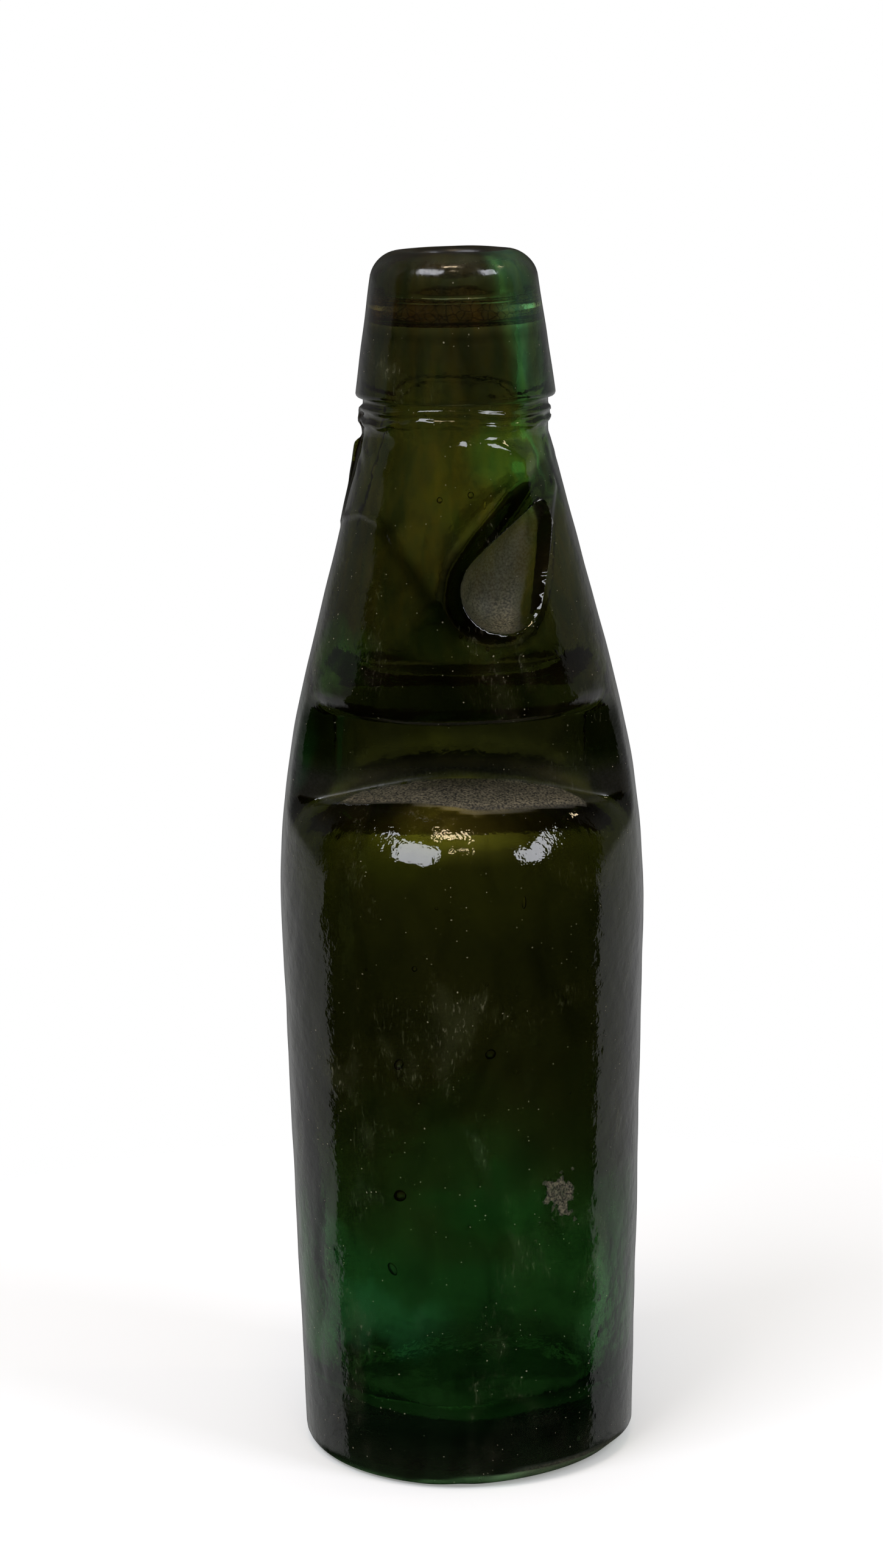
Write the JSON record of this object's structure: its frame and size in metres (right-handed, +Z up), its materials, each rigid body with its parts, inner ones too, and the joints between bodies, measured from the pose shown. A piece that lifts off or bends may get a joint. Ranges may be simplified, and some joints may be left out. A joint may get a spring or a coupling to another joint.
{
  "type": "marble stopper bottle",
  "caption": "Thick glass bottle with a pinched waist and a neck chamber that holds a glass marble, which slides up against a rubber ring in the tapered lip.",
  "frame": {"origin": "centre of the base, on the plane that the bottle stands on", "axes": "+Z up along the bottle's axis to the mouth; the two flat faces of the pinch look along -Y and +Y; the two lugs lie on the +X side"},
  "size_m": [0.0564, 0.0564, 0.188],
  "materials": {
    "bottle_glass": "blown and moulded dark olive to bottle green glass, glossy, with bubbles, streaks, scuffs and old dirt",
    "lip_glass": "tooled dark olive glass with a teal streak, glossy",
    "ring_rubber": "old vulcanised rubber, brown and matt",
    "marble_glass": "pale aqua green glass, slightly scuffed"
  },
  "bodies": {
    "bottle": {"bottle_body": "bottle_glass", "applied_lip": "lip_glass", "rubber_ring": "ring_rubber"},
    "stopper": {"marble": "marble_glass"}
  },
  "joints": [
    {"name": "marble_slide", "type": "slide", "parent": "bottle", "child": "stopper", "axis": [0, 0, 1], "range_m": [0, 0.0452]}
  ]
}
